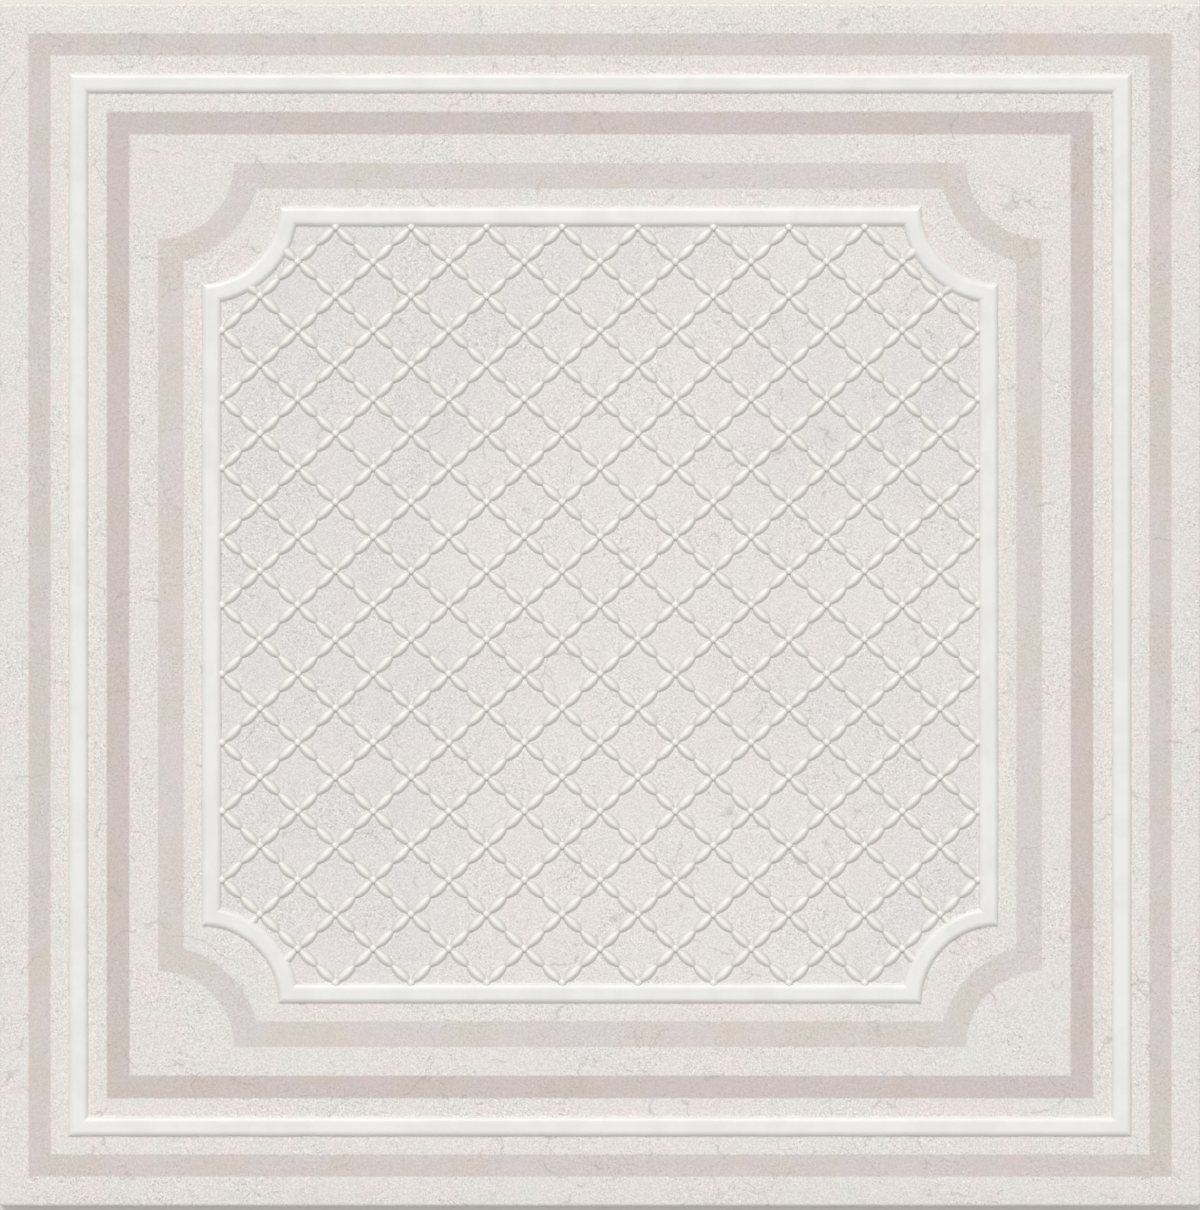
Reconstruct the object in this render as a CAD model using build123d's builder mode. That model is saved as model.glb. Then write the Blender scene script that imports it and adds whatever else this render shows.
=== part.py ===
import os
from math import atan2, cos, degrees, hypot, radians, sin, tan

from build123d import *

# Body
tile_side = 402.0
tile_thickness = 8.0
corner_radius = 1.5
arris_radius = 1.0
back_bevel = 0.6

# Key pattern pressed into the back
key_cells = 6
key_rim = 12.0
key_rib = 8.0
key_depth = 0.7
key_draft = 20.0

# Raised mouldings
moulding_width = 6.2
shoulder_height = 0.65
shoulder_draft = 35.0
crown_height = 0.45
crown_draft = 65.0
outer_margin = 23.6
inner_margin = 68.1
notch_radius = 25.8

# Trellis of pods and beads
trellis_columns = 10
trellis_rows = 11
trellis_gap = 0.45
bead_diameter = 2.4
bead_height = 0.9
bead_sides = 4
pod_gap = 0.2
pod_width = 3.8
pod_height = 1.0

# Sizes that follow from the ones above
key_pitch = (tile_side - 2 * key_rim + key_rib) / key_cells
key_cell = key_pitch - key_rib
outer_side = tile_side - 2 * outer_margin
inner_side = tile_side - 2 * inner_margin
panel_side = inner_side - 2 * moulding_width
trellis_side = panel_side - 2 * trellis_gap
step_x = trellis_side / trellis_columns / 2
step_y = trellis_side / trellis_rows / 2
run_length = hypot(step_x, step_y)
run_angle = degrees(atan2(step_y, step_x))
pod_length = (run_length - bead_diameter - 3 * pod_gap) / 2
pod_near = bead_diameter / 2 + pod_gap
pod_far = pod_near + pod_length
shoulder_inset = shoulder_height * tan(radians(shoulder_draft))
ground = Plane.XY.offset(tile_thickness)
shoulder = Plane.XY.offset(tile_thickness + shoulder_height)


def plain_square(inset):
    """Sketch of the outer moulding's outline moved inward."""
    with BuildSketch() as outline:
        Rectangle(outer_side - 2 * inset, outer_side - 2 * inset)
    return outline.sketch


def notched_square(inset):
    """Sketch of the inner moulding's outline moved inward, its bitten corners kept concentric."""
    with BuildSketch() as outline:
        Rectangle(inner_side - 2 * inset, inner_side - 2 * inset)
        with GridLocations(inner_side, inner_side, 2, 2):
            Circle(notch_radius + inset, mode=Mode.SUBTRACT)
    return outline.sketch


def in_panel(x, y, inset):
    """Whether a point lies inside the panel, at least the inset away from its edge."""
    bite = hypot(inner_side / 2 - abs(x), inner_side / 2 - abs(y))
    clear_of_sides = max(abs(x), abs(y)) < panel_side / 2 - inset
    return clear_of_sides and bite > notch_radius + moulding_width + inset


def pods_round(x, y):
    """Places of the four pods round one crossing, those that show inside the panel."""
    places = []
    for angle in (run_angle, 180 - run_angle, 180 + run_angle, -run_angle):
        along = (cos(radians(angle)), sin(radians(angle)))
        ends = [(x + reach * along[0], y + reach * along[1]) for reach in (pod_near, pod_far)]
        if any(in_panel(*end, pod_width / 2) for end in ends):
            middle = (pod_near + pod_far) / 2
            centre = (x + middle * along[0], y + middle * along[1], tile_thickness)
            places.append(Location(centre, (0, 0, angle)))
    return places


# One pod, a spindle with a ridge and pointed ends
with BuildPart() as pod:
    with BuildSketch(Plane.YZ) as belly:
        with BuildLine():
            Polyline((-pod_width / 2, 0), (0, pod_height), (pod_width / 2, 0), close=True)
        make_face()
    tips = [Vertex(-pod_length / 2, 0, 0), Vertex(pod_length / 2, 0, 0)]
    loft(sections=[tips[0], belly.sketch.face(), tips[1]], ruled=True)

# One bead, a low stud with few sides
with BuildPart() as bead:
    with BuildSketch() as foot:
        RegularPolygon(bead_diameter / 2, bead_sides)
    loft(sections=[foot.sketch.face(), Vertex(0, 0, bead_height)], ruled=True)

# Trellis, a bead at every crossing and four pods round it
crossings = [
    (column * step_x, row * step_y)
    for row in range(-trellis_rows, trellis_rows + 1)
    for column in range(-trellis_columns, trellis_columns + 1)
    if (row + column) % 2 == 0
]
beads = [bead.part.moved(Location((x, y, tile_thickness))) for x, y in crossings if in_panel(x, y, 0)]
pods = [pod.part.moved(place) for x, y in crossings for place in pods_round(x, y)]

# Tile
with BuildPart() as tile:
    with BuildSketch():
        RectangleRounded(tile_side, tile_side, corner_radius)
    extrude(amount=tile_thickness)
    fillet(tile.faces().sort_by(Axis.Z)[-1].edges(), arris_radius)
    chamfer(tile.faces().sort_by(Axis.Z)[0].edges(), back_bevel)
    with BuildSketch():
        with GridLocations(key_pitch, key_pitch, key_cells, key_cells):
            Rectangle(key_cell, key_cell)
    extrude(amount=key_depth, taper=key_draft, mode=Mode.SUBTRACT)
    for outline in (plain_square, notched_square):
        with BuildSketch(ground):
            add(outline(0))
            add(outline(moulding_width), mode=Mode.SUBTRACT)
        extrude(amount=shoulder_height, taper=shoulder_draft)
        with BuildSketch(shoulder):
            add(outline(shoulder_inset))
            add(outline(moulding_width - shoulder_inset), mode=Mode.SUBTRACT)
        extrude(amount=crown_height, taper=crown_draft)
    add(pods + beads, clean=False)

tile.part.label = "tile"
os.makedirs("parts", exist_ok=True)
export_step(tile.part, "parts/tile.step")
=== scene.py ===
"""Visual model of a square glazed wall tile with raised mouldings and a raised trellis."""
import math

import bpy
import numpy as np
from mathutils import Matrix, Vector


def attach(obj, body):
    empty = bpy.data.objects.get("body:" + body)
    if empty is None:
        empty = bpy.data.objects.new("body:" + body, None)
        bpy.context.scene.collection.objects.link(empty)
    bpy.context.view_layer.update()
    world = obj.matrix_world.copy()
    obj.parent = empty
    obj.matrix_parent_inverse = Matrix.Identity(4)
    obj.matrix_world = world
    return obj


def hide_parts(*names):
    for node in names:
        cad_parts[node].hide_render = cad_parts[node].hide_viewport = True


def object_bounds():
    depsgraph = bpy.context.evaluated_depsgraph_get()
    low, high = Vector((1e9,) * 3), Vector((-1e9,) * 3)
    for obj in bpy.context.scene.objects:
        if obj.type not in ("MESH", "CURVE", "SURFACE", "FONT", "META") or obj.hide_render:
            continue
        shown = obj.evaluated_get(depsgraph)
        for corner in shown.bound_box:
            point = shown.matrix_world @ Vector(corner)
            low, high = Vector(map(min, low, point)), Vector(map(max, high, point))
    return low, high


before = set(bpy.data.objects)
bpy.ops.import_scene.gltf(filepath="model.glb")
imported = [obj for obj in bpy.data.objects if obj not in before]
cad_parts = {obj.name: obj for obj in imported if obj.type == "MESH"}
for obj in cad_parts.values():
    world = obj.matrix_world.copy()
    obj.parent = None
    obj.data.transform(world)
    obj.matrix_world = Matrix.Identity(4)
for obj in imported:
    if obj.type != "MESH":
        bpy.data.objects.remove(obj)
CAD_LOW, CAD_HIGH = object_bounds()

bl_info = {
    "name": "Relief tile",
    "version": (1, 0, 0),
    "blender": (4, 5, 0),
    "location": "3D View > Sidebar > Tile",
    "description": "Builds a glazed tile with two mouldings, printed bands and a trellis of pods and beads",
    "category": "Mesh",
}

# Units and names that all the pieces share
MM = 0.001
TINY = 1e-9
NODE = "tile"
BODY = "root"
IMAGE_HEIGHT = 1210

# Fineness of the surfaces: a pod's section in parts of its half width, a bead's rings in degrees of rise
STRAIGHT_COLUMNS = 110
CORNER_COLUMNS = 16
MOULDING_STEPS = 36
ARRIS_STEPS = 7
POD_STATIONS = 7
POD_ARCH = (-1, -0.86, -0.5, 0, 0.5, 0.86, 1)
BEAD_SPOKES = 10
BEAD_RISE = (0, 28, 54, 76)

# Small overlaps that keep neighbouring surfaces joined
MOULDING_MARGIN = 0.9 * MM
CELL_LEDGE = 2.0 * MM
RIB_SUNK = 0.3 * MM
RIM_OVERLAP = 0.05 * MM
RELIEF_SUNK = 0.03 * MM
POD_CLEARANCE = 0.3 * MM

# Angles above which an edge stays sharp
BODY_CREASE = math.radians(38)
RIB_CREASE = math.radians(20)
RELIEF_CREASE = math.radians(60)

# Length in millimetres and phase of the waves in which glaze pools along an edge
POOL_WAVES = ((9.0, 0.3), (13.0, 1.7), (19.0, 2.9), (31.0, 4.1))
POOL_TURN = 2.4

# Kinds of shader node that come up often, and the sockets of a colour mix
MIX = "ShaderNodeMix"
MATH = "ShaderNodeMath"
SPAN = "ShaderNodeMapRange"
AMOUNT = 0
BASE = 6
LAYER = 7
RESULT = 2

# Mottles: size in millimetres, detail, seed, and the two levels of the noise that become 0 and 1
BROAD_CLOUDS = (130, 1, 2.0, 0.38, 0.62)
ROSE_CLOUDS = (34, 3, 1.3, 0.36, 0.64)
ROSE_PATCHES = (9, 2, 4.7, 0.42, 0.66)
SAGE_PATCHES = (13, 2, 8.1, 0.46, 0.68)
CLUSTERS = (17, 3, 2.2, 0.36, 0.64)
GRAIN = (0.62, 2, 3.9, 0.32, 0.70)
SPECKS = (0.9, 2, 6.4, 0.575, 0.67)
FLECKS = (1.0, 1, 9.6, 0.60, 0.70)
CRACK_BREAKS = (7, 2, 5.5, 0.49, 0.61)
RAGGED_EDGES = (1.2, 2, 7.7, 0.2, 0.8)
BEIGE_PATCHES = (24, 2, 3.3, 0.40, 0.62)
MOULDING_POOLS = (12, 3, 6.1, 0.38, 0.64)
RELIEF_POOLS = (6, 2, 1.1, 0.3, 0.7)
SAND = (0.8, 2, 2.5, 0.35, 0.7)
CLAY_CLOUDS = (22, 2, 7.1, 0.35, 0.65)
CLAY_GRAINS = (1.6, 1, 5.2, 0.63, 0.72)
MOTTLE_ROUGHNESS = 0.55
SEED_STEP = np.array([1.0, 0.7, 1.3])

# Hair cracks: size of their cells and of their bends in millimetres, sideways reach of the bends, width
CRACK_CELL = 38
CRACK_WAVE = 11
CRACK_BEND = 16 * MM
CRACK_WIDTH = 0.013

# Finishes: bending and scattering of light, heights of the fine relief, soft edge of a band, plain paints
GLAZE_IOR = 1.5
CLAY_IOR = 1.5
PRINT_ROUGHNESS = 0.50
MOULDING_ROUGHNESS = 0.40
RELIEF_ROUGHNESS = 0.32
CLAY_ROUGHNESS = 0.88
FLOOR_ROUGHNESS = 0.9
GRAIN_HEIGHT = 0.06 * MM
POOL_HEIGHT = 0.1 * MM
SAND_HEIGHT = 0.12 * MM
BAND_EDGE = 0.22 * MM
WHITE = (1.0, 1.0, 1.0, 1.0)
NO_INK = (1.0, 1.0, 1.0, 0.0)

# Half side of the floor in metres
FLOOR_REACH = 8.0


def linear(code):
    """Linear colour with full alpha from an sRGB hex code such as E3DFDA."""
    parts = np.array([int(code[i:i + 2], 16) for i in (0, 2, 4)]) / 255
    low = parts / 12.92
    high = ((parts + 0.055) / 1.055) ** 2.4
    return tuple(float(v) for v in np.where(parts <= 0.04045, low, high)) + (1.0,)


def length(name, default_mm, description):
    """A length property whose default is given in millimetres."""
    return bpy.props.FloatProperty(
        name=name, description=description, default=default_mm * MM, min=0, precision=5, unit="LENGTH",
        subtype="DISTANCE",
    )


def power(name, default, description):
    """A bare number that shapes a curve."""
    return bpy.props.FloatProperty(name=name, description=description, default=default, min=0.1, max=4)


def angle(name, degrees, description):
    """An angle property whose default is given in degrees."""
    return bpy.props.FloatProperty(
        name=name, description=description, default=math.radians(degrees), subtype="ANGLE",
    )


def share(name, default, description):
    """A property between 0 and 1."""
    return bpy.props.FloatProperty(
        name=name, description=description, default=default, min=0, max=1, subtype="FACTOR",
    )


def count(name, default, description):
    """A whole number property."""
    return bpy.props.IntProperty(name=name, description=description, default=default, min=1)


def colour(name, code, description):
    """A colour property whose default is an sRGB hex code."""
    return bpy.props.FloatVectorProperty(
        name=name, description=description, default=linear(code), size=4, min=0, max=1, subtype="COLOR",
    )


class TileBodySettings(bpy.types.PropertyGroup):
    """Sizes of the pressed body and its two mouldings."""

    side: length("Side", (CAD_HIGH.x - CAD_LOW.x) / MM, "Edge to edge across the tile")
    thickness: length("Thickness", 8.0, "From the ribs of the back to the ground of the face")
    corner: length("Corner radius", 1.5, "Rounding of the four corners seen from above")
    arris: length("Arris radius", 1.0, "Rounding of the pressed edge round the face")
    bevel: length("Back bevel", 0.6, "Bevel round the back")
    glaze_lip: length("Glaze lip", 0.7, "How far the glaze runs down the sides below the arris")
    moulding_height: length("Moulding height", 1.08, "Height of both mouldings above the ground")
    moulding_width: length("Moulding width", 6.6, "Width of both mouldings at their feet")
    moulding_slope: length("Moulding slope", 2.0, "Width of a moulding's slope, from foot to flat crown")
    moulding_fullness: power("Moulding fullness", 0.45, "Below 1 the slope stands steeper at its foot")
    outer_inset: length("Outer moulding inset", 23.4, "From the tile's edge to the plain square moulding")
    inner_inset: length("Inner moulding inset", 67.9, "From the tile's edge to the bitten moulding")
    notch: length("Bite radius", 25.8, "Radius of the bites in the inner moulding's corners")
    ripple: length("Glaze ripple", 0.07, "How far pooled glaze makes the mouldings' edges wander")


class BackSettings(bpy.types.PropertyGroup):
    """Sizes of the key pattern pressed into the back."""

    cells: count("Cells", 6, "Square cells along each side")
    rim: length("Rim", 12.0, "Plain rim round the back")
    rib: length("Rib", 8.0, "Width of the ribs between the cells")
    depth: length("Depth", 0.7, "Depth of the cells")
    draft: angle("Draft", 20, "Slope of the cells' walls")


class TrellisSettings(bpy.types.PropertyGroup):
    """Sizes of the trellis of pods and beads."""

    columns: count("Columns", 10, "Diamonds across the panel")
    rows: count("Rows", 11, "Diamonds up the panel")
    gap: length("Gap", 0.25, "From the moulding's foot to the outermost crossings")
    pod_start: length("Pod start", 0.1, "From a crossing's centre to the near end of a pod")
    pod_overlap: length("Pod overlap", 0.7, "How far two pods run into each other in the middle of a run")
    pod_width: length("Pod width", 4.05, "Width of a pod across its belly")
    pod_height: length("Pod height", 1.05, "Height of a pod above the ground")
    pod_fullness: power("Pod fullness", 0.76, "Below 1 a pod's sides stand steeper at their feet")
    pod_taper: power("Pod taper", 0.74, "How soon a pod narrows towards its ends")
    pod_fall: power("Pod fall", 0.57, "How soon a pod gets lower towards its ends")
    bead_width: length("Bead width", 3.0, "Diameter of a bead at its foot")
    bead_height: length("Bead height", 1.05, "Height of a bead above the ground")


class PrintSettings(bpy.types.PropertyGroup):
    """Places and colours of the printed stone, its bands and the plain glazes."""

    outer_band: length("Outer band inset", 10.0, "From the tile's edge to the outer band")
    outer_band_width: length("Outer band width", 7.4, "Width of the outer band")
    middle_band: length("Middle band inset", 36.2, "From the tile's edge to the middle band")
    middle_band_width: length("Middle band width", 7.5, "Width of the middle band")
    inner_band: length("Inner band inset", 53.3, "From the tile's edge to the band with bitten corners")
    inner_band_width: length("Inner band width", 8.6, "Width of the band with bitten corners")
    inner_band_notch: length("Inner band bite", 25.4, "Radius of the bites in the inner band's corners")
    stone: colour("Stone", "E5E1DC", "Mean colour of the printed stone")
    cool: colour("Cool cloud", "DEDCDA", "Broad cool grey clouds in the stone")
    rose: colour("Rose cloud", "E9DEDA", "Pinkish clouds in the stone")
    sage: colour("Sage cloud", "E1E1DA", "Greenish clouds in the stone")
    speck: colour("Speck", "A39C93", "Dark specks and hair cracks")
    fleck: colour("Fleck", "F6F4EF", "Pale flecks")
    outer_tint: colour("Outer band tint", "EBE6E9", "What the outer band multiplies the stone by")
    middle_tint: colour("Middle band tint", "E3DCDF", "What the middle band multiplies the stone by")
    inner_tint: colour("Inner band tint", "EFEBEE", "What the inner band multiplies the stone by")
    band_drift: colour("Band drift", "FDFDF5", "What the bands multiply by where mauve drifts to beige")
    moulding: colour("Moulding glaze", "EBEAE7", "Plain white glaze of the mouldings")
    moulding_thin: colour("Thin moulding glaze", "E6E5E2", "Where the white glaze of the mouldings is thin")
    pod: colour("Pod glaze", "F2EFEA", "Warm white glaze on the crests of the pods and beads")
    # Painted shade: a darker colour at the pods' and beads' feet stands in for the shade that falls round
    # them
    pod_foot_shade: colour("Pod foot", "D3CFC9", "Where the glaze of the pods and beads thins out at their feet")
    biscuit: colour("Biscuit", "D9CDBD", "Bare fired body of the sides and the back")


class StageSettings(bpy.types.PropertyGroup):
    """Camera, lamps and floor."""

    lens: bpy.props.FloatProperty(
        name="Lens", description="Focal length in millimetres", default=200, min=10, unit="CAMERA",
    )
    tile_pixels: bpy.props.FloatProperty(
        name="Tile in the picture", description="Width of the tile in a picture 1200 pixels wide",
        default=1203, subtype="PIXEL",
    )
    key_turn: angle("Key light turn", 13, "How far left of the picture's top the key light stands")
    key_tilt: angle("Key light tilt", 47, "Angle of the key light from straight above")
    key_spread: angle("Key light spread", 35, "Angle that the soft key light fills")
    key_share: share("Key light share", 0.39, "Share of the light on the face that the key light gives")
    top_share: share("Overhead light share", 0.42, "Share of the light that comes from straight above")
    top_spread: angle("Overhead light spread", 70, "Angle that the soft light overhead fills")
    level: share("Light level", 0.955, "Light on the face, less what the glaze reflects of the pale studio")
    floor: colour("Floor", "E9E7E4", "Plain pale floor")


def piece(name, points, quads, triangles, crease, materials):
    """Mesh object from arrays of points and corner numbers, riding on the body, smooth but for creases."""
    mesh = bpy.data.meshes.new(name)
    mesh.from_pydata(points.tolist(), [], quads.tolist() + triangles.tolist())
    mesh.shade_smooth()
    mesh.set_sharp_from_angle(angle=crease)
    for material in materials:
        mesh.materials.append(material)
    made = bpy.data.objects.new(name, mesh)
    bpy.context.scene.collection.objects.link(made)
    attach(made, BODY)
    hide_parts(NODE)
    return made


def mark(made, name, values):
    """Gives every point of a piece its own value, which the materials read by name."""
    made.data.attributes.new(name, "FLOAT", "POINT").data.foreach_set("value", values)


def ring_faces(rings, columns):
    """Corner numbers of a tube of rings, and of the fans that close its two ends on one point each.

    Ring r, column c is point r * columns + c. The two end points come after all the rings.
    """
    ring, column = np.meshgrid(np.arange(rings - 1), np.arange(columns), indexing="ij")
    following = (column + 1) % columns
    here = ring * columns
    beyond = here + columns
    quads = np.stack([here + column, beyond + column, beyond + following, here + following], -1)
    first = np.arange(columns)
    second = (first + 1) % columns
    start = np.full(columns, rings * columns)
    last = (rings - 1) * columns
    fans = [np.stack([start, first, second], -1), np.stack([start + 1, last + second, last + first], -1)]
    return quads.reshape(-1, 4), np.concatenate(fans)


def crowded_ends(steps):
    """Steps from 0 up to 1 that shrink towards both ends, as heights on a turning wheel do."""
    return 0.5 - 0.5 * np.cos(np.pi * np.arange(steps) / steps)


def frame_rings(half, rounding, bitten, bite_centre, bite, leg):
    """Outlines of many nested frames at once: rings by columns of x and y.

    Each frame is a square of the given half side. Its corner is an L of two legs, rounded by a quarter
    circle. Where bitten is 1 the L is traded for a quarter circle about the bite's centre, and between
    0 and 1 the two paths are mixed. One quarter of the outline is worked out and turned four times.
    """
    along = 2 * crowded_ends(STRAIGHT_COLUMNS) - 1
    half_turn = 0.5 * crowded_ends(CORNER_COLUMNS)
    turn = np.concatenate([half_turn, half_turn + 0.5])
    rows = (v[:, None] for v in (half, rounding, bitten, bite_centre, bite))
    half, rounding, bitten, bite_centre, bite = rows

    # The plain corner, rounded where a point is nearer to the corner than the rounding
    from_corner = leg * np.abs(1 - 2 * turn)[None, :] + 0 * half
    rounded = from_corner < rounding
    sweep = np.where(rounded, 1 - from_corner / np.maximum(rounding, TINY), 0) * math.pi / 4
    inner = half - rounding
    long_side = np.where(rounded, inner + rounding * np.sin(sweep), half - from_corner)
    short_side = np.where(rounded, inner + rounding * np.cos(sweep), half)
    before = turn[None, :] < 0.5
    plain_x = np.where(before, long_side, short_side)
    plain_y = np.where(before, short_side, long_side)

    # The bitten corner, and the mixture of both
    lean = np.arcsin(np.clip((bite_centre - half) / bite, 0, 1))
    bearing = math.pi + lean + turn[None, :] * (math.pi / 2 - 2 * lean)
    mixed_x = plain_x + bitten * (bite_centre + bite * np.cos(bearing) - plain_x)
    mixed_y = plain_y + bitten * (bite_centre + bite * np.sin(bearing) - plain_y)
    reach = half - leg + bitten * (bite_centre - bite * np.cos(lean) - half + leg)
    x = np.concatenate([along[None, :] * reach, mixed_x], 1)
    y = np.concatenate([half + 0 * along[None, :], mixed_y], 1)
    quarters = [(x, y), (y, -x), (-x, -y), (-y, x)]
    return np.concatenate([q[0] for q in quarters], 1), np.concatenate([q[1] for q in quarters], 1)


def pooled_glaze(x, y, turn):
    """Slow wandering of a glazed edge, between -1 and 1: the mean of sine waves across the face."""
    total = 0 * x
    for size, phase in POOL_WAVES:
        bearing = phase * POOL_TURN + turn
        along = x * math.cos(bearing) + y * math.sin(bearing)
        total = total + np.sin(2 * math.pi * along / (size * MM) + phase)
    return total / len(POOL_WAVES)


def swell(part, fullness):
    """Rise from a level foot to a level crown: with v the part to a power, 3 v squared less 2 v cubed."""
    held = np.clip(part, 0, 1) ** fullness
    return held * held * (3 - 2 * held)


def skin_profile(body, back, print_):
    """Half sides and heights of the nested frames, from the middle of the back out and over to the face.

    The profile runs over the back's rim, the bevel, the side, the arris, a quarter circle, and the ground,
    with close steps across the mouldings. The last value tells how many of the frames lie below the arris.
    """
    half = body.side / 2
    ground = body.thickness
    field = half - back.rim
    wall = back.depth * math.tan(back.draft)
    lip = ground - body.arris
    outside = [
        (field - wall - CELL_LEDGE, back.depth), (field - wall, back.depth), (field, 0),
        (half - body.bevel, 0), (half, body.bevel), (half, lip - body.glaze_lip), (half, lip),
    ]
    arc = np.linspace(0, math.pi / 2, ARRIS_STEPS)[1:]
    outside += [(half - body.arris + body.arris * math.cos(a), lip + body.arris * math.sin(a)) for a in arc]
    edge = body.moulding_width / 2 + MOULDING_MARGIN
    across = np.linspace(edge, -edge, MOULDING_STEPS) - body.moulding_width / 2
    bands = [
        half - start - np.array([0, width]) for start, width in (
            (print_.outer_band, print_.outer_band_width), (print_.middle_band, print_.middle_band_width),
            (print_.inner_band, print_.inner_band_width),
        )
    ]
    outer, inner = half - body.outer_inset + across, half - body.inner_inset + across
    sizes = np.concatenate([[p[0] for p in outside], bands[0], outer, bands[1], bands[2], inner])
    heights = np.concatenate([[p[1] for p in outside], np.full(len(sizes) - len(outside), ground)])
    return sizes, heights, int(np.sum(heights < lip - TINY))


def tile_surface(body, back, print_):
    """The tile's skin: its profile carried round the nested frames, with both mouldings swelling from it.

    The corners are bitten from the inner band inwards. A moulding swells from its foot to its flat crown
    on both sides, and its feet wander as pooled glaze does.
    """
    half = body.side / 2
    sizes, heights, bare_rings = skin_profile(body, back, print_)
    band_outer = half - print_.inner_band
    band_inner = band_outer - print_.inner_band_width
    frame_half = half - body.inner_inset
    in_band = (sizes <= band_outer + TINY) & (sizes >= band_inner - TINY)
    in_frame = sizes < band_inner - TINY
    on_face = heights > body.thickness - TINY
    bitten = ((in_band | in_frame) & on_face).astype(float)
    centre = np.where(in_frame, frame_half, np.where(in_band, band_outer, sizes))
    first_bite = np.where(in_frame, body.notch, print_.inner_band_notch)
    bite = np.where(bitten > 0, first_bite + centre - sizes, body.notch)
    rounding = np.clip(body.corner - (half - sizes), 0, body.corner)
    x, y = frame_rings(sizes, rounding, bitten, centre, bite, body.notch)

    raised = 0 * x
    spread = body.moulding_width / 2
    for inset, start in ((body.outer_inset, 0.0), (body.inner_inset, 2.0)):
        off = sizes[:, None] - (half - inset - spread)
        wander = body.ripple * np.where(off > 0, pooled_glaze(x, y, start), pooled_glaze(x, y, start + 1))
        part = (spread - np.abs(off) + wander) / body.moulding_slope
        raised = np.maximum(raised, swell(part, body.moulding_fullness))
    z = heights[:, None] + body.moulding_height * raised
    rings, columns = x.shape
    middles = [[0, 0, back.depth], [0, 0, body.thickness]]
    points = np.concatenate([np.stack([x, y, z], -1).reshape(-1, 3), middles])
    from_edge = np.concatenate([np.repeat(half - sizes, columns), [half, half]])
    return points, rings, columns, from_edge, np.concatenate([raised.ravel(), [0, 0]]), bare_rings


def back_ribs(body, back):
    """Crossing ribs of the back: two layers of one grid, walls wherever a rib meets an open cell.

    The lower layer holds the ribs' soles. The upper layer is wider by the walls' draft and lies inside
    the body.
    """
    field = body.side / 2 - back.rim
    pitch = (2 * field + back.rib) / back.cells
    middles = -field - back.rib / 2 + pitch * np.arange(1, back.cells)
    sunk = back.depth + RIB_SUNK
    widen = sunk * math.tan(back.draft)

    def lines(extra):
        edges = np.stack([middles - back.rib / 2 - extra, middles + back.rib / 2 + extra], -1).ravel()
        return np.concatenate([[-field - RIM_OVERLAP], edges, [field + RIM_OVERLAP]])

    low, high = lines(0), lines(widen)
    size = len(low)
    lower = np.stack([*np.meshgrid(low, low, indexing="ij"), np.zeros((size, size))], -1)
    upper = np.stack([*np.meshgrid(high, high, indexing="ij"), np.full((size, size), sunk)], -1)
    points = np.concatenate([lower.reshape(-1, 3), upper.reshape(-1, 3)])
    number = np.arange(size * size).reshape(size, size)
    lift = size * size
    odd = np.arange(size - 1) % 2 == 1
    rib = odd[:, None] | odd[None, :]
    i, j = np.nonzero(rib)
    sole = np.stack([number[i, j], number[i, j + 1], number[i + 1, j + 1], number[i + 1, j]], -1)
    top = sole[:, ::-1] + lift
    framed = np.pad(rib, 1)
    across = framed[1:, 1:-1].astype(int) - framed[:-1, 1:-1]
    upward = framed[1:-1, 1:].astype(int) - framed[1:-1, :-1]
    walls = []
    for sign in (1, -1):
        i, j = np.nonzero(across == sign)
        side = np.stack([number[i, j], number[i, j] + lift, number[i, j + 1] + lift, number[i, j + 1]], -1)
        walls.append(side[:, ::sign])
        i, j = np.nonzero(upward == sign)
        side = np.stack([number[i, j], number[i + 1, j], number[i + 1, j] + lift, number[i, j] + lift], -1)
        walls.append(side[:, ::sign])
    return points, np.concatenate([sole, top] + walls)


def in_panel(x, y, inset, body):
    """Where points lie inside the inner moulding, at least the inset away from its foot."""
    frame_half = body.side / 2 - body.inner_inset
    reach = frame_half - body.moulding_width - inset
    bite = np.hypot(frame_half - np.abs(x), frame_half - np.abs(y))
    return (np.maximum(np.abs(x), np.abs(y)) < reach) & (bite > body.notch + body.moulding_width + inset)


def crossings(body, trellis):
    """Centres of the trellis's crossings, every other point of a fine grid, and that grid's two steps."""
    panel = body.side - 2 * (body.inner_inset + body.moulding_width + trellis.gap)
    step_x = panel / trellis.columns / 2
    step_y = panel / trellis.rows / 2
    columns = np.arange(-trellis.columns, trellis.columns + 1)
    rows = np.arange(-trellis.rows, trellis.rows + 1)
    column, row = (v.ravel() for v in np.meshgrid(columns, rows))
    kept = (column + row) % 2 == 0
    return column[kept] * step_x, row[kept] * step_y, step_x, step_y


def repeated(unit, quads, triangles, x, y, bearing, ground):
    """Copies of one small shape, each turned to its bearing and set at its place on the ground."""
    cos, sin = np.cos(bearing)[:, None], np.sin(bearing)[:, None]
    px = unit[None, :, 0] * cos - unit[None, :, 1] * sin + x[:, None]
    py = unit[None, :, 0] * sin + unit[None, :, 1] * cos + y[:, None]
    pz = unit[None, :, 2] + ground + 0 * px
    shift = (np.arange(len(x)) * len(unit))[:, None, None]
    points = np.stack([px, py, pz], -1).reshape(-1, 3)
    return points, (quads[None] + shift).reshape(-1, 4), (triangles[None] + shift).reshape(-1, 3)


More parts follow.
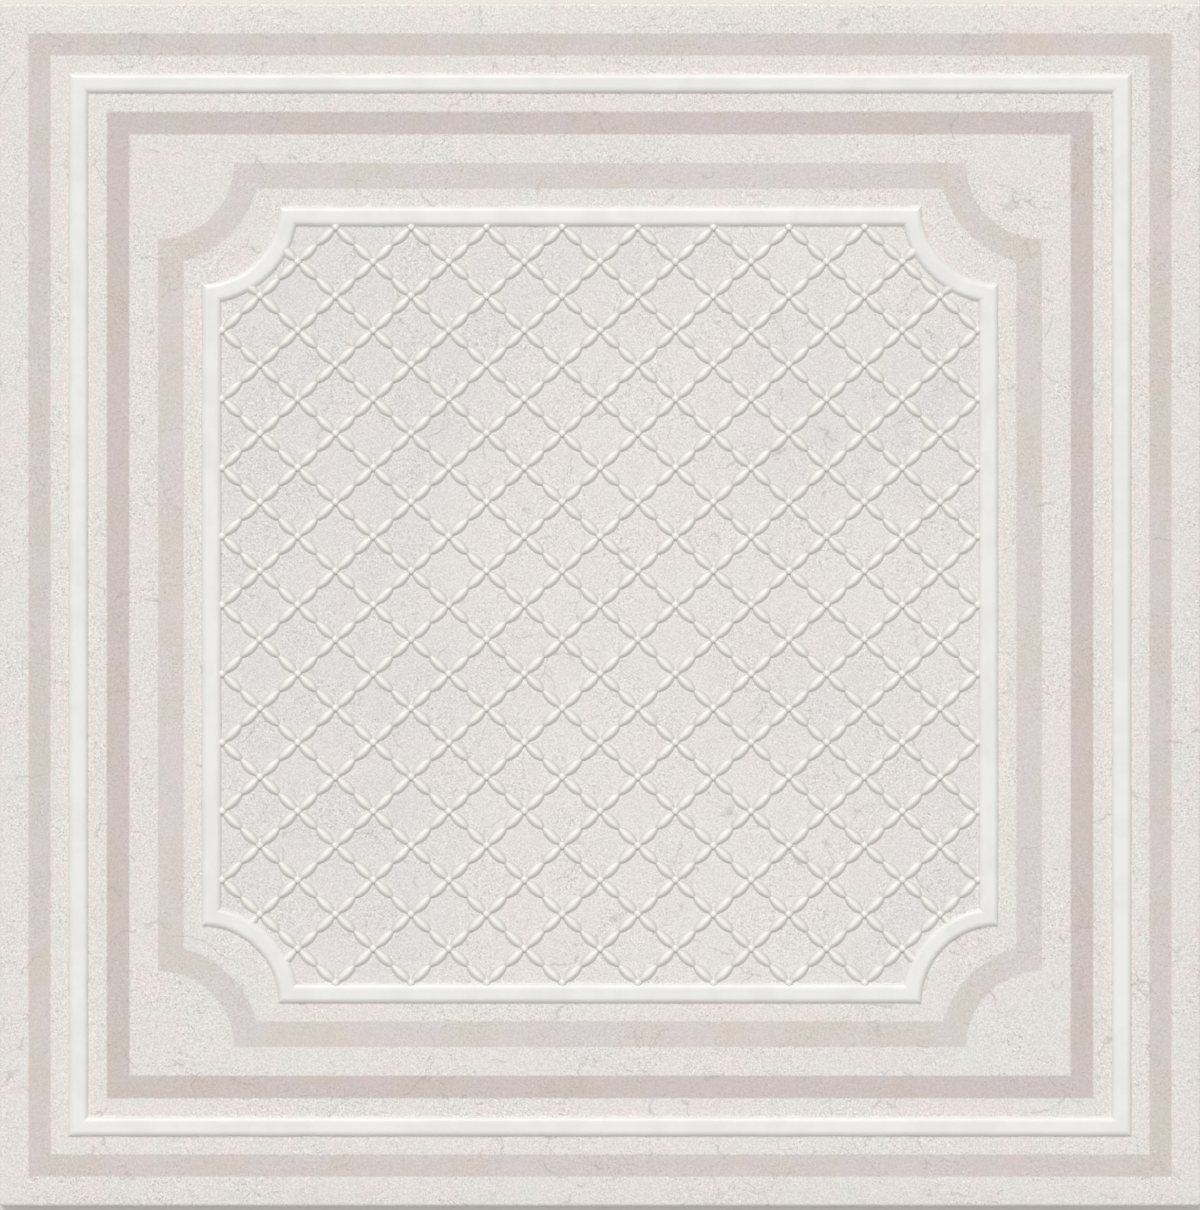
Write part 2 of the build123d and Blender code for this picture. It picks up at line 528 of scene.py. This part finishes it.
def pod_shape(trellis, long):
    """One pod: at a part s of its half length, width and height fall as 1 less s squared, to two powers.

    Its section swells from a level foot on each side to the crown, closed by a sole just below the ground.
    """
    s = -np.cos(np.pi * np.arange(1, POD_STATIONS + 1) / (POD_STATIONS + 1))
    t = np.array(POD_ARCH)
    wide = trellis.pod_width / 2 * (1 - s ** 2) ** trellis.pod_taper
    tall = (trellis.pod_height + RELIEF_SUNK) * (1 - s ** 2) ** trellis.pod_fall
    x = s[:, None] * long / 2 + 0 * t[None, :]
    y = -wide[:, None] * t[None, :]
    z = tall[:, None] * swell(1 - np.abs(t[None, :]), trellis.pod_fullness) - RELIEF_SUNK
    rings = np.stack([x, y, z], -1).reshape(-1, 3)
    tips = np.array([[-long / 2, 0, -RELIEF_SUNK], [long / 2, 0, -RELIEF_SUNK]])
    quads, triangles = ring_faces(POD_STATIONS, len(t))
    return np.concatenate([rings, tips]), quads[:, ::-1], triangles[:, ::-1]


def bead_shape(trellis):
    """One bead: half an ellipse turned about its axis, closed by a sole just below the ground."""
    rise = np.radians(BEAD_RISE)
    spoke = 2 * math.pi * np.arange(BEAD_SPOKES) / BEAD_SPOKES
    wide = trellis.bead_width / 2 * np.cos(rise)
    tall = (trellis.bead_height + RELIEF_SUNK) * np.sin(rise) - RELIEF_SUNK
    x = wide[:, None] * np.cos(spoke)
    y = wide[:, None] * np.sin(spoke)
    rings = np.stack([x, y, tall[:, None] + 0 * x], -1).reshape(-1, 3)
    ends = np.array([[0, 0, -RELIEF_SUNK], [0, 0, trellis.bead_height]])
    quads, triangles = ring_faces(len(rise), BEAD_SPOKES)
    return np.concatenate([rings, ends]), quads[:, ::-1], triangles[:, ::-1]


def node(tree, kind, inputs=None, output=0, **settings):
    """Adds one node, sets its properties, sets or links its inputs, and gives one of its outputs."""
    made = tree.nodes.new(kind)
    for name, value in settings.items():
        setattr(made, name, value)
    for key, value in (inputs or {}).items():
        if isinstance(value, bpy.types.NodeSocket):
            tree.links.new(value, made.inputs[key])
        else:
            made.inputs[key].default_value = value
    return made.outputs[output] if made.outputs else None


def per_metre(size_mm):
    """Scale of a pattern whose features are that many millimetres apart."""
    return 1 / (size_mm * MM)


def toned(paint, part):
    """A colour made darker or paler by a factor, with full alpha."""
    return tuple(min(1.0, part * v) for v in paint[:3]) + (1.0,)


def new_material(name):
    """Node material with its shader linked to its output, and the object's coordinates."""
    material = bpy.data.materials.new(name)
    material.use_nodes = True
    tree = material.node_tree
    tree.nodes.clear()
    surface = node(tree, "ShaderNodeBsdfPrincipled")
    node(tree, "ShaderNodeOutputMaterial", {"Surface": surface})
    return material, tree, surface.node, node(tree, "ShaderNodeTexCoord", output="Object")


def mottled(tree, place, kind):
    """Soft patches of one kind, between 0 and 1: noise moved by its seed and stretched from low to high."""
    size_mm, detail, seed, low, high = kind
    moved = node(tree, "ShaderNodeVectorMath", {0: place, 1: tuple(seed * SEED_STEP)}, operation="ADD")
    cloud = node(
        tree, "ShaderNodeTexNoise",
        {"Vector": moved, "Scale": per_metre(size_mm), "Detail": detail, "Roughness": MOTTLE_ROUGHNESS},
    )
    return node(
        tree, SPAN, {"Value": cloud, "From Min": low, "From Max": high}, interpolation_type="SMOOTHSTEP",
    )


def painted(tree, base, paint, *amounts):
    """A base with a paint laid over it, covering it by the product of two or more amounts."""
    coverage = amounts[0]
    for amount in amounts[1:]:
        coverage = node(tree, MATH, {0: coverage, 1: amount}, operation="MULTIPLY")
    return node(tree, MIX, {AMOUNT: coverage, BASE: base, LAYER: paint}, RESULT, data_type="RGBA")


def stone_ground(tree, place, inset, body, print_):
    """Printed limestone: clouds of three tints, a fine grain, clusters of specks and flecks, and hair cracks.

    The printed dots are about a tenth of a millimetre across, which is too fine to show, so the grain is
    drawn at 0.6 mm. The panel inside the inner moulding is cooler and has weaker clouds than the border.
    """
    foot = body.inner_inset
    across = {"Value": inset, "From Min": foot, "From Max": foot + body.moulding_width}
    border = node(tree, SPAN, {**across, "To Min": 1.0, "To Max": 0.5})
    panel = node(tree, SPAN, {**across, "To Min": 0.15, "To Max": 1.0})
    stone, rose, sage = tuple(print_.stone), tuple(print_.rose), tuple(print_.sage)
    speck, fleck = tuple(print_.speck), tuple(print_.fleck)

    # Clouds, from the broadest to the smallest
    base = painted(tree, stone, tuple(print_.cool), mottled(tree, place, BROAD_CLOUDS), panel)
    base = painted(tree, base, rose, mottled(tree, place, ROSE_CLOUDS), border, 0.65)
    base = painted(tree, base, rose, mottled(tree, place, ROSE_PATCHES), border, 0.3)
    base = painted(tree, base, sage, mottled(tree, place, SAGE_PATCHES), border, 0.6)

    # Grain, stronger in clusters, and the specks and flecks in them
    clusters = mottled(tree, place, CLUSTERS)
    grain = mottled(tree, place, GRAIN)
    shade = node(tree, SPAN, {"Value": grain, "To Min": 0.86, "To Max": 1.095})
    strength = node(tree, SPAN, {"Value": clusters, "To Min": 0.8, "To Max": 1.05})
    shaded = node(
        tree, MIX, {AMOUNT: 1.0, BASE: base, LAYER: shade}, RESULT, data_type="RGBA", blend_type="MULTIPLY",
    )
    base = node(tree, MIX, {AMOUNT: strength, BASE: base, LAYER: shaded}, RESULT, data_type="RGBA")
    base = painted(tree, base, speck, mottled(tree, place, SPECKS), clusters, 0.48)
    base = painted(tree, base, fleck, mottled(tree, place, FLECKS), clusters, 0.9)

    # Hair cracks: bent borders between cells, broken off here and there
    warp = node(
        tree, "ShaderNodeTexNoise", {"Vector": place, "Scale": per_metre(CRACK_WAVE), "Detail": 3}, "Color",
    )
    bent = node(
        tree, "ShaderNodeVectorMath", {0: warp, 1: (CRACK_BEND,) * 3, 2: place}, operation="MULTIPLY_ADD",
    )
    cracks = node(
        tree, "ShaderNodeTexVoronoi", {"Vector": bent, "Scale": per_metre(CRACK_CELL)}, "Distance",
        feature="DISTANCE_TO_EDGE",
    )
    hair = node(tree, SPAN, {"Value": cracks, "From Max": CRACK_WIDTH, "To Min": 1.0, "To Max": 0.0})
    return painted(tree, base, speck, hair, mottled(tree, place, CRACK_BREAKS), 0.46), grain


def printed_bands(tree, place, inset, base, body, print_):
    """Three bands of ink over the stone, with slightly ragged edges and a drift from mauve to beige."""
    ragged = mottled(tree, place, RAGGED_EDGES)
    inset = node(tree, MATH, {0: ragged, 1: BAND_EDGE, 2: inset}, operation="MULTIPLY_ADD")
    reach = body.inner_inset
    across = node(tree, MATH, {0: inset, 1: 1 / reach}, operation="MULTIPLY")
    tint = node(tree, "ShaderNodeValToRGB", {"Fac": across})
    inked = tint.node.outputs["Alpha"]
    ramp = tint.node.color_ramp
    ramp.elements.remove(ramp.elements[1])
    ramp.elements[0].color = NO_INK
    for start, width, ink in (
        (print_.outer_band, print_.outer_band_width, print_.outer_tint),
        (print_.middle_band, print_.middle_band_width, print_.middle_tint),
        (print_.inner_band, print_.inner_band_width, print_.inner_tint),
    ):
        end = start + width
        for at, code in ((start, NO_INK), (start + BAND_EDGE, ink), (end, ink), (end + BAND_EDGE, NO_INK)):
            ramp.elements.new(at / reach).color = tuple(code)
    base = painted(tree, base, tuple(print_.stone), inked, 0.3)
    patches = mottled(tree, place, BEIGE_PATCHES)
    drift = node(tree, MATH, {0: inked, 1: patches}, operation="MULTIPLY")
    for amount, ink in ((1.0, tint), (drift, tuple(print_.band_drift))):
        sockets = {AMOUNT: amount, BASE: base, LAYER: ink}
        base = node(tree, MIX, sockets, RESULT, data_type="RGBA", blend_type="MULTIPLY")
    return base


def printed_stone(body, print_):
    """Satin ceramic glaze printed as limestone, with tinted bands, and white glaze pooled on the mouldings.

    Ink dots under a satin glaze give the eye soft clouds, fine specks in clusters and hair cracks, with
    only a weak sheen. The plain white glaze on the raised work is smoother and hides the print.
    """
    material, tree, shader, place = new_material("satin_glaze_printed_stone")
    inset = node(tree, "ShaderNodeAttribute", output="Fac", attribute_name="from_edge")
    stone, grain = stone_ground(tree, place, inset, body, print_)
    stone = printed_bands(tree, place, inset, stone, body, print_)
    pooled = mottled(tree, place, MOULDING_POOLS)
    white = node(
        tree, MIX, {AMOUNT: pooled, BASE: tuple(print_.moulding), LAYER: tuple(print_.moulding_thin)}, RESULT,
        data_type="RGBA",
    )
    raised = node(tree, "ShaderNodeAttribute", output="Fac", attribute_name="raised")
    covered = node(
        tree, SPAN, {"Value": raised, "From Min": 0.10, "From Max": 0.45}, interpolation_type="SMOOTHSTEP",
    )
    rough = node(tree, SPAN, {"Value": covered, "To Min": PRINT_ROUGHNESS, "To Max": MOULDING_ROUGHNESS})
    bump = node(tree, "ShaderNodeBump", {"Height": grain, "Strength": 0.25, "Distance": GRAIN_HEIGHT})
    finish = node(tree, MIX, {AMOUNT: covered, BASE: stone, LAYER: white}, RESULT, data_type="RGBA")
    tree.links.new(finish, shader.inputs["Base Color"])
    tree.links.new(rough, shader.inputs["Roughness"])
    tree.links.new(bump, shader.inputs["Normal"])
    shader.inputs["IOR"].default_value = GLAZE_IOR
    return material


def white_glaze(print_):
    """Warm white ceramic glaze, fired smooth over pressed relief.

    It gives the eye bright crests, and painted shade that darkens the colour towards the feet.
    """
    material, tree, shader, place = new_material("satin_white_glaze")
    pooled = mottled(tree, place, RELIEF_POOLS)
    height = node(tree, "ShaderNodeAttribute", output="Fac", attribute_name="crest")
    # Painted shade: by height alone, the colour darkens from the crest down to the feet and stands in for the
    # shade round the pods and beads
    coverage = node(tree, SPAN, {"Value": height, "From Min": 0.25, "From Max": 0.9})
    crest = tuple(print_.pod)
    crown = node(
        tree, MIX, {AMOUNT: pooled, BASE: crest, LAYER: toned(crest, 0.955)}, RESULT, data_type="RGBA",
    )
    finish = node(
        tree, MIX, {AMOUNT: coverage, BASE: tuple(print_.pod_foot_shade), LAYER: crown}, RESULT, data_type="RGBA",
    )
    bump = node(tree, "ShaderNodeBump", {"Height": pooled, "Strength": 0.2, "Distance": POOL_HEIGHT})
    tree.links.new(finish, shader.inputs["Base Color"])
    tree.links.new(bump, shader.inputs["Normal"])
    shader.inputs["Roughness"].default_value = RELIEF_ROUGHNESS
    shader.inputs["IOR"].default_value = GLAZE_IOR
    return material


def bare_biscuit(print_):
    """Unglazed clay of the sides and the back, pressed from powder and fired.

    It gives the eye a matt, sandy surface with darker grains. The powder is too fine to show, so the sand
    is drawn at 0.8 mm.
    """
    material, tree, shader, place = new_material("pressed_clay_biscuit")
    clay = tuple(print_.biscuit)
    sand = mottled(tree, place, SAND)
    clouds = mottled(tree, place, CLAY_CLOUDS)
    base = node(
        tree, MIX, {AMOUNT: clouds, BASE: clay, LAYER: toned(clay, 1.07)}, RESULT, data_type="RGBA",
    )
    base = painted(tree, base, toned(clay, 0.80), sand, 0.35)
    base = painted(tree, base, tuple(print_.speck), mottled(tree, place, CLAY_GRAINS), 0.5)
    bump = node(tree, "ShaderNodeBump", {"Height": sand, "Strength": 0.6, "Distance": SAND_HEIGHT})
    tree.links.new(base, shader.inputs["Base Color"])
    tree.links.new(bump, shader.inputs["Normal"])
    shader.inputs["Roughness"].default_value = CLAY_ROUGHNESS
    shader.inputs["IOR"].default_value = CLAY_IOR
    return material


def shared(name, maker, *settings):
    """A material made once and then found again by its name."""
    return bpy.data.materials.get(name) or maker(*settings)


def add_floor(scene, stage):
    """A plain pale floor far wider than the tile, at the level of the back's ribs."""
    mesh = bpy.data.meshes.new("floor")
    corners = [(x * FLOOR_REACH, y * FLOOR_REACH, 0) for x, y in ((-1, -1), (1, -1), (1, 1), (-1, 1))]
    mesh.from_pydata(corners, [], [(0, 1, 2, 3)])
    floor = bpy.data.objects.new("floor", mesh)
    scene.collection.objects.link(floor)
    material, _, shader, _ = new_material("pale_floor")
    shader.inputs["Base Color"].default_value = tuple(stage.floor)
    shader.inputs["Roughness"].default_value = FLOOR_ROUGHNESS
    mesh.materials.append(material)


def add_lamps(scene, stage):
    """A soft key light from the picture's top and a wider one overhead, each with its share of the light."""
    for name, part, spread, tilt, turn in (
        ("key", stage.key_share, stage.key_spread, stage.key_tilt, stage.key_turn),
        ("overhead", stage.top_share, stage.top_spread, 0.0, 0.0),
    ):
        lamp = bpy.data.lights.new(name, "SUN")
        lamp.angle = spread
        lamp.energy = stage.level * math.pi * part / math.cos(tilt)
        light = bpy.data.objects.new(name, lamp)
        light.rotation_euler = (-tilt, 0, turn)
        scene.collection.objects.link(light)


def add_world(scene, stage):
    """The rest of the light from all round, and a white studio for what is seen or mirrored."""
    world = bpy.data.worlds.new("studio")
    scene.world = world
    world.use_nodes = True
    tree = world.node_tree
    tree.nodes.clear()
    ambient = stage.level * (1 - stage.key_share - stage.top_share)
    fill = node(tree, "ShaderNodeBackground", {"Color": WHITE, "Strength": ambient})
    studio = node(tree, "ShaderNodeBackground", {"Color": WHITE, "Strength": 1.0})
    rays = node(tree, "ShaderNodeLightPath").node.outputs
    shiny = node(tree, MATH, {0: rays["Is Glossy Ray"], 1: rays["Is Transmission Ray"]}, operation="MAXIMUM")
    shown = node(tree, MATH, {0: rays["Is Camera Ray"], 1: shiny}, operation="MAXIMUM")
    mixed = node(tree, "ShaderNodeMixShader", {0: shown, 1: fill, 2: studio})
    node(tree, "ShaderNodeOutputWorld", {"Surface": mixed})


def add_camera(scene, stage, body):
    """A camera straight above the middle of the face, as far off as its lens and the picture's height ask."""
    data = bpy.data.cameras.new("camera")
    data.lens = stage.lens
    camera = bpy.data.objects.new("camera", data)
    seen_height = body.side / stage.tile_pixels * IMAGE_HEIGHT
    camera.location = (0, 0, body.thickness + seen_height * stage.lens / data.sensor_width)
    scene.collection.objects.link(camera)
    scene.camera = camera


class RELIEFTILE_OT_body(bpy.types.Operator):
    """Make the tile's skin: back rim, sides, arris, printed face and both mouldings"""

    bl_idname = "relief_tile.body"
    bl_label = "Tile body"

    def execute(self, context):
        body, back, print_ = context.scene.tile_body, context.scene.tile_back, context.scene.tile_print
        points, rings, columns, from_edge, raised, bare_rings = tile_surface(body, back, print_)
        quads, triangles = ring_faces(rings, columns)
        finishes = [printed_stone(body, print_), shared("pressed_clay_biscuit", bare_biscuit, print_)]
        made = piece("tile_body", points, quads, triangles, BODY_CREASE, finishes)
        mark(made, "from_edge", from_edge)
        mark(made, "raised", raised)
        bare = np.zeros(len(quads) + len(triangles), int)
        bare[:bare_rings * columns] = 1
        bare[len(quads):len(quads) + columns] = 1
        made.data.polygons.foreach_set("material_index", bare)
        return {"FINISHED"}


class RELIEFTILE_OT_ribs(bpy.types.Operator):
    """Make the crossing ribs of the back"""

    bl_idname = "relief_tile.ribs"
    bl_label = "Back ribs"

    def execute(self, context):
        points, quads = back_ribs(context.scene.tile_body, context.scene.tile_back)
        finish = shared("pressed_clay_biscuit", bare_biscuit, context.scene.tile_print)
        piece("back_ribs", points, quads, np.zeros((0, 3), int), RIB_CREASE, [finish])
        return {"FINISHED"}


class RELIEFTILE_OT_pods(bpy.types.Operator):
    """Make the pods, four round every crossing of the trellis"""

    bl_idname = "relief_tile.pods"
    bl_label = "Trellis pods"

    def execute(self, context):
        body, trellis = context.scene.tile_body, context.scene.tile_trellis
        x, y, step_x, step_y = crossings(body, trellis)
        run = math.hypot(step_x, step_y)
        lean = math.atan2(step_y, step_x)
        bearing = np.array([lean, math.pi - lean, math.pi + lean, -lean])[None, :] + 0 * x[:, None]
        near, far = trellis.pod_start, run / 2 + trellis.pod_overlap
        unit, quads, triangles = pod_shape(trellis, far - near)

        def at(reach):
            return x[:, None] + reach * np.cos(bearing), y[:, None] + reach * np.sin(bearing)

        shows = in_panel(*at(near), POD_CLEARANCE, body) | in_panel(*at(far), POD_CLEARANCE, body)
        px, py = at((near + far) / 2)
        placed = repeated(unit, quads, triangles, px[shows], py[shows], bearing[shows], body.thickness)
        finish = shared("satin_white_glaze", white_glaze, context.scene.tile_print)
        made = piece("trellis_pods", *placed, RELIEF_CREASE, [finish])
        mark(made, "crest", (placed[0][:, 2] - body.thickness) / trellis.pod_height)
        return {"FINISHED"}


class RELIEFTILE_OT_beads(bpy.types.Operator):
    """Make the beads, one on every crossing of the trellis"""

    bl_idname = "relief_tile.beads"
    bl_label = "Trellis beads"

    def execute(self, context):
        body, trellis = context.scene.tile_body, context.scene.tile_trellis
        x, y, _, _ = crossings(body, trellis)
        shows = in_panel(x, y, 0, body)
        unit, quads, triangles = bead_shape(trellis)
        placed = repeated(unit, quads, triangles, x[shows], y[shows], 0 * x[shows], body.thickness)
        finish = shared("satin_white_glaze", white_glaze, context.scene.tile_print)
        made = piece("trellis_beads", *placed, RELIEF_CREASE, [finish])
        mark(made, "crest", (placed[0][:, 2] - body.thickness) / trellis.bead_height)
        return {"FINISHED"}


class RELIEFTILE_OT_stage(bpy.types.Operator):
    """Set up the pale floor, the soft lamps, the world and the camera straight above the tile"""

    bl_idname = "relief_tile.stage"
    bl_label = "Stage"

    def execute(self, context):
        scene, stage = context.scene, context.scene.tile_stage
        add_floor(scene, stage)
        add_lamps(scene, stage)
        add_world(scene, stage)
        add_camera(scene, stage, scene.tile_body)
        scene.view_settings.view_transform = "Standard"
        return {"FINISHED"}


SETTINGS = {
    "tile_body": TileBodySettings,
    "tile_back": BackSettings,
    "tile_trellis": TrellisSettings,
    "tile_print": PrintSettings,
    "tile_stage": StageSettings,
}
OPERATORS = (
    RELIEFTILE_OT_body, RELIEFTILE_OT_ribs, RELIEFTILE_OT_pods, RELIEFTILE_OT_beads, RELIEFTILE_OT_stage,
)


class RELIEFTILE_PT_panel(bpy.types.Panel):
    """Sizes, colours and steps of the relief tile"""

    bl_label = "Relief tile"
    bl_space_type = "VIEW_3D"
    bl_region_type = "UI"
    bl_category = "Tile"

    def draw(self, context):
        for name, group in SETTINGS.items():
            box = self.layout.box()
            for key in group.__annotations__:
                box.prop(getattr(context.scene, name), key)
        for operator in OPERATORS:
            self.layout.operator(operator.bl_idname)


def register():
    """Registers the settings, the operators and the panel."""
    for group in SETTINGS.values():
        bpy.utils.register_class(group)
    for name, group in SETTINGS.items():
        setattr(bpy.types.Scene, name, bpy.props.PointerProperty(type=group))
    for made in OPERATORS + (RELIEFTILE_PT_panel,):
        bpy.utils.register_class(made)


def unregister():
    """Takes everything that register added away again."""
    for made in (RELIEFTILE_PT_panel,) + OPERATORS[::-1]:
        bpy.utils.unregister_class(made)
    for name, group in SETTINGS.items():
        delattr(bpy.types.Scene, name)
        bpy.utils.unregister_class(group)


def main():
    """Builds the tile and its stage."""
    register()
    bpy.ops.relief_tile.body()
    bpy.ops.relief_tile.ribs()
    bpy.ops.relief_tile.pods()
    bpy.ops.relief_tile.beads()
    bpy.ops.relief_tile.stage()


if __name__ == "__main__":
    main()
